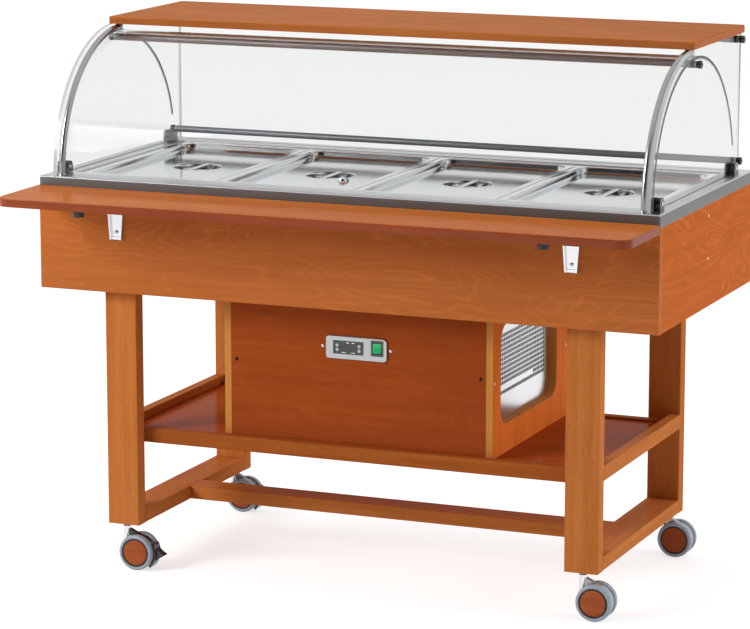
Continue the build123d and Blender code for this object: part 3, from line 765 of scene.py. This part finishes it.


# The front board is the same stained plywood, painted darker as painted shade for the shadow under the
# cabinet above it.
unit_front = wood("unit_front_board_painted_shade", (172, 84, 36), (154, 70, 28), (134, 56, 22), "X",
                  figure=0.2, rings=18, pores=0.25, gloss=0.38, shift=(3, 1, 4))
unit_side = wood("unit_side_board", (236, 132, 58), (220, 114, 46), (192, 90, 34), "Z",
                 figure=0.15, rings=14, pores=0.2, gloss=0.36, shift=(0, 7, 2))
unit_edge = wood("unit_board_edge", (220, 158, 86), (200, 132, 62), (170, 102, 44), "Z",
                 pores=0.3, gloss=0.3, shift=(0, 1, 6))
dress("unit_front_panel", unit_front, "wood_fascia")
dress("unit_side_panels", unit_side, "wood_fascia", second=unit_edge, takes_second=on_edge)


def punched_tree():
    """A flat sheet in XY with rows of square holes, given thickness. Every second strip of a grid is a
    bar; a cell is punched where both its column and its row are of the other kind and lie within the
    punched field, and the strip that is left whole goes to a share of the length."""
    tree = bpy.data.node_groups.new("punched_sheet", "GeometryNodeTree")
    inputs = (("Length", 0.3), ("Width", 0.2), ("Pitch", 0.01), ("Hole", 0.007), ("Gauge", 0.001),
              ("Field Left", -0.1), ("Field Right", 0.1), ("Field Low", -0.1), ("Field High", 0.1),
              ("Whole Low", 1.0), ("Whole High", 1.0), ("Whole Right", 1.0))
    for title, value in inputs:
        socket = tree.interface.new_socket(title, in_out="INPUT", socket_type="NodeSocketFloat")
        socket.default_value = value
    tree.interface.new_socket("Finish", in_out="INPUT", socket_type="NodeSocketMaterial")
    tree.interface.new_socket("Sheet", in_out="OUTPUT", socket_type="NodeSocketGeometry")
    new, link = tree.nodes.new, tree.links.new
    given, result = new("NodeGroupInput"), new("NodeGroupOutput")
    calc = Nodes(tree).math
    pitch, hole = given.outputs["Pitch"], given.outputs["Hole"]

    def cell_count(size):
        return calc("FLOOR", calc("DIVIDE", given.outputs[size], pitch), 0.0)

    grid = new("GeometryNodeMeshGrid")
    for size, title, count in (("Length", "Size X", "Vertices X"), ("Width", "Size Y", "Vertices Y")):
        cells = cell_count(size)
        link(calc("MULTIPLY", cells, pitch), grid.inputs[title])
        link(calc("ADD", calc("MULTIPLY", cells, 2.0), 1.0), grid.inputs[count])
    place = new("GeometryNodeInputPosition")
    split = new("ShaderNodeSeparateXYZ")
    link(place.outputs[0], split.inputs[0])
    x, y = split.outputs[0], split.outputs[1]

    def strip(position, size):
        """The number of the half-pitch strip that a face lies in."""
        cells = cell_count(size)
        start = calc("MULTIPLY", calc("MULTIPLY", cells, pitch), 0.5)
        return calc("FLOOR", calc("DIVIDE", calc("ADD", position, start), calc("MULTIPLY", pitch, 0.5)), 0.0)

    def between(position, low, high):
        above = calc("GREATER_THAN", position, given.outputs[low])
        return calc("MULTIPLY", above, calc("LESS_THAN", position, given.outputs[high]))

    odd_column, odd_row = calc("MODULO", strip(x, "Length"), 2.0), calc("MODULO", strip(y, "Width"), 2.0)
    inside = calc("MULTIPLY", between(x, "Field Left", "Field Right"), between(y, "Field Low", "Field High"))
    short = calc("LESS_THAN", x, given.outputs["Whole Right"])
    whole = calc("MULTIPLY", between(y, "Whole Low", "Whole High"), short)
    cells = calc("MULTIPLY", calc("MULTIPLY", odd_column, odd_row), inside)
    punch = calc("MULTIPLY", cells, calc("SUBTRACT", 1.0, whole))
    remove = new("GeometryNodeDeleteGeometry")
    remove.domain = "FACE"
    link(grid.outputs["Mesh"], remove.inputs["Geometry"])
    link(punch, remove.inputs["Selection"])

    def nudge(position, size):
        """Moves each grid line so that holes and bars get their own widths, and the sheet its size."""
        cells = cell_count(size)
        half = calc("MULTIPLY", calc("MULTIPLY", cells, pitch), 0.5)
        line = calc("ROUND", calc("DIVIDE", calc("ADD", position, half), calc("MULTIPLY", pitch, 0.5)), 0.0)
        sign = calc("SUBTRACT", 1.0, calc("MULTIPLY", calc("MODULO", line, 2.0), 2.0))
        by = calc("MULTIPLY", calc("SUBTRACT", hole, calc("MULTIPLY", pitch, 0.5)), 0.5)
        moved = calc("ADD", position, calc("MULTIPLY", sign, by))
        outer = calc("GREATER_THAN", calc("ABSOLUTE", position, 0.0), calc("SUBTRACT", half, 1e-5))
        edge = calc("MULTIPLY", calc("SIGN", position, 0.0), calc("MULTIPLY", given.outputs[size], 0.5))
        kept = calc("MULTIPLY", calc("SUBTRACT", 1.0, outer), moved)
        return calc("ADD", calc("MULTIPLY", outer, edge), kept)

    joined = new("ShaderNodeCombineXYZ")
    link(nudge(x, "Length"), joined.inputs[0])
    link(nudge(y, "Width"), joined.inputs[1])
    shift = new("GeometryNodeSetPosition")
    link(remove.outputs[0], shift.inputs["Geometry"])
    link(joined.outputs[0], shift.inputs["Position"])
    thick = new("GeometryNodeExtrudeMesh")
    thick.inputs["Individual"].default_value = False
    link(shift.outputs[0], thick.inputs["Mesh"])
    link(given.outputs["Gauge"], thick.inputs["Offset Scale"])
    back = new("GeometryNodeFlipFaces")
    link(shift.outputs[0], back.inputs["Mesh"])
    join = new("GeometryNodeJoinGeometry")
    link(back.outputs[0], join.inputs[0])
    link(thick.outputs["Mesh"], join.inputs[0])
    weld = new("GeometryNodeMergeByDistance")
    weld.inputs["Distance"].default_value = 1e-5
    link(join.outputs[0], weld.inputs["Geometry"])
    real = new("GeometryNodeRealizeInstances")
    link(weld.outputs[0], real.inputs[0])
    paint = new("GeometryNodeSetMaterial")
    link(real.outputs[0], paint.inputs["Geometry"])
    link(given.outputs["Finish"], paint.inputs["Material"])
    link(paint.outputs[0], result.inputs[0])
    return tree


grille_metal = steel("punched_bright_sheet", (226, 227, 229), 0.2, "Y", 0.4)
punched = punched_tree()
box_low, box_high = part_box("unit_grilles")
unit_low, unit_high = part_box("unit_side_panels")
sheet_gauge = 0.7 * mm
side_length, side_width = box_high.y - 2 * mm - box_low.y, box_high.z - box_low.z
side_middle = Vector((0, (box_low.y + box_high.y - 2 * mm) / 2, (box_low.z + box_high.z) / 2))
field = {"Field Low": 0.428 - side_middle.z, "Field High": 0.5635 - side_middle.z, "Pitch": 10.4 * mm,
         "Hole": 8.1 * mm, "Gauge": sheet_gauge, "Finish": grille_metal.material}
sheets = []
for side, sx in (("left", -1), ("right", 1)):
    values = {"Length": side_length, "Width": side_width, "Field Left": centre_y - 0.2 - side_middle.y,
              "Field Right": centre_y + 0.13 - side_middle.y, "Whole Low": 0.445 - side_middle.z,
              "Whole High": 0.456 - side_middle.z, "Whole Right": centre_y + 0.06 - side_middle.y, **field}
    piece = grown(f"punched_side_{side}", bpy.data.meshes.new("blank"), punched, values)
    # the sheet's X goes to the row's Y and its Y to the row's Z
    stand = Matrix(((0, 0, sx, 0), (1, 0, 0, 0), (0, 1, 0, 0), (0, 0, 0, 1)))
    outer = sx * box_high.x - sx * sheet_gauge
    piece.data.transform(Matrix.Translation((outer, side_middle.y, side_middle.z)) @ stand)
    if sx < 0:
        piece.data.flip_normals()
    sheets.append(piece)
rear_length = 2 * box_high.x
values = {"Length": rear_length, "Width": side_width, "Field Left": -0.24, "Field Right": 0.24, **field}
values.update({"Field Low": -0.11, "Field High": 0.11})
rear = grown("punched_rear", bpy.data.meshes.new("blank"), punched, values)
rear.data.transform(Matrix.Translation((0, box_high.y - sheet_gauge, side_middle.z))
                    @ Matrix(((-1, 0, 0, 0), (0, 0, 1, 0), (0, 1, 0, 0), (0, 0, 0, 1))))
sheets.append(rear)
for piece in sheets:
    soften(piece.data, 30)
    show(piece, "cabinet", "steel_grille")
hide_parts("unit_grilles")

unit_front_face = unit_low.y
dark_zinc = Finish("blackened_screw", stain(40, 34, 30), 0.35, 0.8)
dark_zinc.worn(0.28, 0.45, 500)
front_places = [((sx * 285 * mm, unit_front_face, 485 * mm), (0, -1, 0)) for sx in (-1, 1)]
screws("unit_front_screws", front_places, 8 * mm, dark_zinc, "cabinet", "black_metal")
side_places = [((sx * unit_high.x, centre_y + y * mm, 476 * mm), (sx, 0, 0))
               for sx in (-1, 1) for y in (-228, 226)]
screws("unit_side_caps", side_places, 7 * mm, cover_white, "cabinet", "grey_plate", cap_head)


# Inside the box: the black compressor can, the finned condenser with its shroud, motor and fan, and the
# gland at the back for the mains lead.
can_paint = Finish("compressor_paint", stain(24, 24, 26), 0.4, 0.2)
can_paint.bump(can_paint.noise((220, 220, 220), 3.0), 0.15, 0.0002)
fins = Finish("condenser_fins", stain(168, 170, 172), 0.42, 0.9)
# Light fin edges and dark gaps between them, in stripes: the dark is painted shade between the fins.
fins_and_gap_shade = fins.math("PINGPONG", fins.add("SeparateXYZ", {0: fins.place((1, 400, 1))}).outputs[1], 0.5)
fins.feed(fins.mix(fins_and_gap_shade, stain(60, 62, 64), stain(190, 192, 194)), "Base Color")
fins.bump(fins_and_gap_shade, 0.6, 0.0006)
fan_plastic = Finish("fan_moulding", stain(30, 30, 32), 0.5)
fan_plastic.bump(fan_plastic.noise((400, 400, 400)), 0.15, 0.0002)
dress("compressor", can_paint, "black_metal")
dress("condenser", fins, "fin_aluminium")
dress("fan", fan_plastic, "fan_plastic")
dress("power_inlet", rubber, "black_plastic")


# The control plate: a bevelled grey metal plate, with the thermostat's black window, four small round
# keys and a lit green rocker switch in a black frame.
plate_metal = steel("control_plate_metal", (176, 177, 178), 0.34, "X", 0.5)
window_black = Finish("thermostat_window", stain(10, 10, 12), 0.12, Coat_Weight=0.5, Coat_Roughness=0.05)
window_black.worn(0.1, 0.16, 60)
key_grey = Finish("key_plastic", stain(186, 188, 190), 0.4)
key_grey.bump(key_grey.noise((900, 900, 900)), 0.1, 0.0001)
green = Finish("rocker_green", stain(8, 150, 84), 0.25, Coat_Weight=0.5, Coat_Roughness=0.08)
green.set("Emission Color", stain(10, 170, 90))
green.set("Emission Strength", 0.25)
green.mottled((6, 132, 74), (20, 168, 96), 70)
white_mark = Finish("white_marks", stain(236, 238, 238), 0.5)
white_mark.set("Emission Color", stain(236, 238, 238))
white_mark.set("Emission Strength", 0.3)
dress("control_plate", plate_metal, "grey_plate")
dress("switch_bezels", window_black, "black_plastic")
for number in range(1, 5):
    low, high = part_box(f"button_{number}")
    key = bmesh.new()
    deep = (high.y - low.y) / mm
    turned(key, in_mm((0, 0), (3.8, 0), (3.8, deep - 0.7), (3.5, deep - 0.2), (2.9, deep), (1.4, deep - 0.25),
                      (0, deep - 0.3)), ((low.x + high.x) / 2, high.y, (low.z + high.z) / 2), (0, -1, 0), 28)
    show(solid_piece(f"key_{number}", key, key_grey), f"button_{number}", "button_grey", f"button_{number}")
dress("rocker_switch", green, "switch_green")


def small_bar(shape, x, y, z, wide, high):
    """A raised mark: a bar 0.3 mm thick, let 0.05 mm into the face at y."""
    deep = 0.3 * mm
    made = bmesh.ops.create_cube(shape, size=1.0)
    bmesh.ops.transform(shape, matrix=Matrix.Translation((x, y - deep / 2 + 0.05 * mm, z))
                        @ Matrix.Diagonal((wide, deep, high, 1)), verts=made["verts"])


plate_low, plate_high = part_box("control_plate")
plate_z = (plate_low.z + plate_high.z) / 2
window_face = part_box("switch_bezels")[0].y + 0.9 * mm
mark_places = ((-19, 11.7, 6, 1.5), (-6.5, 11.7, 6, 1.5), (-28, -10, 10, 1.0), (-6.6, -10, 10, 1.0))
marks = bmesh.new()
for x, z, wide, high in mark_places:
    small_bar(marks, x * mm, window_face, plate_z + z * mm, wide * mm, high * mm)
show(eased(new_piece("window_marks", marks, white_mark), 0.1 * mm), "cabinet", "grey_plate")
plate_places = [((sx * 79 * mm, unit_front_face, plate_z), (0, -1, 0)) for sx in (-1, 1)]
screws("plate_screws", plate_places, 8 * mm, zinc, "cabinet", "chrome")


# Four twin-wheel castors. Each wheel has a blue-grey tread, a black ring and a domed wooden disc; the
# swivel housing is silver on the right-hand pair and black, with a brake pedal, on the left-hand pair.
tread = Finish("castor_tread", stain(150, 160, 172), 0.42)
tread.mottled((140, 150, 163), (160, 169, 180), 60, 4.0)
tread.bump(tread.noise((700, 700, 700), 2.0), 0.12, 0.0001)
ring_black = Finish("castor_ring", stain(24, 24, 26), 0.32)
ring_black.worn(0.26, 0.4, 300)
disc_wood = wood("castor_disc_wood", (196, 108, 66), (164, 84, 50), (124, 56, 32), "X",
                 pores=0.4, gloss=0.2, shift=(1, 8, 3))
castor_silver = Finish("castor_silver", stain(168, 172, 176), 0.3, 0.6)
castor_silver.worn(0.24, 0.38, 120, 3.0)
dress("castor_stems", plated, "chrome")
wheel_radius, castor_trail = 40 * mm, 30 * mm
barrel_radius, barrel_foot = 9.2 * mm, 50.5 * mm
tyre_profile = [(0, 9.0), (4.0, 9.0), (36.0, 9.0), (38.6, 9.4), (39.7, 10.6), (40.0, 12.2), (40.0, 19.6),
                (39.6, 21.6), (38.5, 23.4), (36.8, 24.6), (34.6, 25.0), (33.2, 24.8), (32.5, 24.2),
                (32.3, 22.6), (31.4, 22.3), (4.0, 22.3), (0, 22.3)]
ring_profile = [(0, 22.0), (4.0, 22.0), (32.2, 22.0), (32.2, 23.2), (31.6, 23.7), (29.6, 23.7), (28.9, 23.2),
                (28.8, 22.4), (4.0, 22.4), (0, 22.4)]
disc_profile = [(0, 22.3), (4.0, 22.3), (28.4, 22.3), (28.5, 23.0), (27.9, 23.7), (26.0, 24.15), (22.0, 24.5),
                (16.0, 24.8), (9.0, 24.96), (0, 25.0)]
wheel_parts = ((tyre_profile, "tyre", tread, "tyre_grey"),
               (ring_profile, "ring", ring_black, "black_plastic"),
               (disc_profile, "disc", disc_wood, "wood_stand"))
for place in ("front_left", "front_right", "rear_left", "rear_right"):
    wheel_low, wheel_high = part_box(f"castor_wheels_{place}")
    axle = Vector(((wheel_low.x + wheel_high.x) / 2, (wheel_low.y + wheel_high.y) / 2, wheel_radius))
    for profile, title, finish, slot_name in wheel_parts:
        pair = bmesh.new()
        for sy in (-1, 1):
            turned(pair, in_mm(*profile), axle, (0, sy, 0), 72)
        made = show(solid_piece(f"castor_{title}_{place}", pair, finish), f"wheels_{place}", slot_name)
        if title == "tyre":
            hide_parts(f"castor_wheels_{place}")
    stem = axle - Vector((castor_trail, 0, 0))

    def on_barrel(centre, normal, stem=stem):
        return math.hypot(centre.x - stem.x, centre.y - stem.y) < barrel_radius and centre.z > barrel_foot

    braked = "left" in place
    housing = (black_gloss, "black_plastic") if braked else (castor_silver, "castor_grey")
    dress(f"castor_housing_{place}", *housing, 40, plated, on_barrel)
    if braked:
        dress(f"brake_pedal_{place}", black_gloss, "black_plastic", 40)

for helper in (cross_head, cap_head):
    bpy.data.objects.remove(helper)


# The studio: a pale floor that reaches far back, a large lamp high on the left, a softer one on the
# right and one overhead. The room is white, but dark behind the camera, so that the steel has contrast;
# what the camera sees of it directly is white all round.
floor_shape = bmesh.new()
bmesh.ops.create_grid(floor_shape, x_segments=1, y_segments=1, size=60)
floor_paint = Finish("studio_floor", (0.5, 0.5, 0.5, 1), 0.9)
floor_paint.set("Specular IOR Level", 0.0)
floor_paint.set("Emission Color", (1, 1, 1, 1))
diffuse = floor_paint.add("LightPath").outputs["Is Diffuse Ray"]
floor_paint.feed(floor_paint.spread(diffuse, 0.0, 1.0, 0.66, 0.22), "Emission Strength")
floor = new_piece("studio_floor", floor_shape, floor_paint)


def lamp(name, spot, aim, wide, high, watts):
    light = bpy.data.lights.new(name, "AREA")
    light.shape = "RECTANGLE"
    light.size, light.size_y = wide, high
    light.energy = watts
    stand = bpy.data.objects.new(name, light)
    stand.location = spot
    stand.rotation_euler = (Vector(aim) - Vector(spot)).to_track_quat("-Z", "Y").to_euler()
    stand.visible_glossy = name == "key_left"
    stand.visible_transmission = False
    bpy.context.scene.collection.objects.link(stand)


lamp("key_left", (-3.0, -3.1, 2.4), (-0.2, 0, 0.7), 1.8, 1.6, 150)
lamp("fill_right", (5.0, 0.5, 1.8), (0, 0, 0.7), 2.0, 2.0, 65)
lamp("overhead", (0.0, 0.2, 4.4), (0, 0.1, 0.9), 3.0, 2.2, 12)

world = bpy.data.worlds.new("studio_room")
bpy.context.scene.world = world
world.use_nodes = True
room = Nodes(world.node_tree)
towards = room.add("SeparateXYZ", {0: room.add("TexCoord").outputs["Generated"]}).outputs
smooth = {"interpolation_type": "SMOOTHSTEP"}
height = room.spread(towards["Z"], 0.1, 0.8, 1.0, 0.85, **smooth)
front = room.spread(towards["Y"], -0.8, -0.2, 0.02, 1.0, **smooth)
lifted = room.spread(towards["Z"], 0.45, 0.9, 0.0, 1.0, **smooth)
strength = room.math("MULTIPLY", height, room.math("MAXIMUM", front, lifted))
seen = room.add("LightPath").outputs["Is Camera Ray"]
glow = room.tree.nodes["Background"]
glow.inputs["Color"].default_value = (1, 1, 1, 1)
room.tree.links.new(room.math("MAXIMUM", strength, seen), glow.inputs["Strength"])
bpy.context.scene.view_settings.view_transform = "Standard"


# The camera: a long lens a little above the top shelf, in front and to the right of the trolley.
lens = bpy.data.cameras.new("camera")
lens.sensor_width = 36
lens.lens = 161.6
lens.clip_end = 200
camera = bpy.data.objects.new("camera", lens)
camera.location = (2.7529, centre_y - 6.7804, deck + 1.1074)
tilt_down, turn_left = 0.1924, 0.3927
camera.rotation_euler = (math.pi / 2 - tilt_down, 0, turn_left)
bpy.context.scene.collection.objects.link(camera)
bpy.context.scene.camera = camera

bpy.context.view_layer.update()
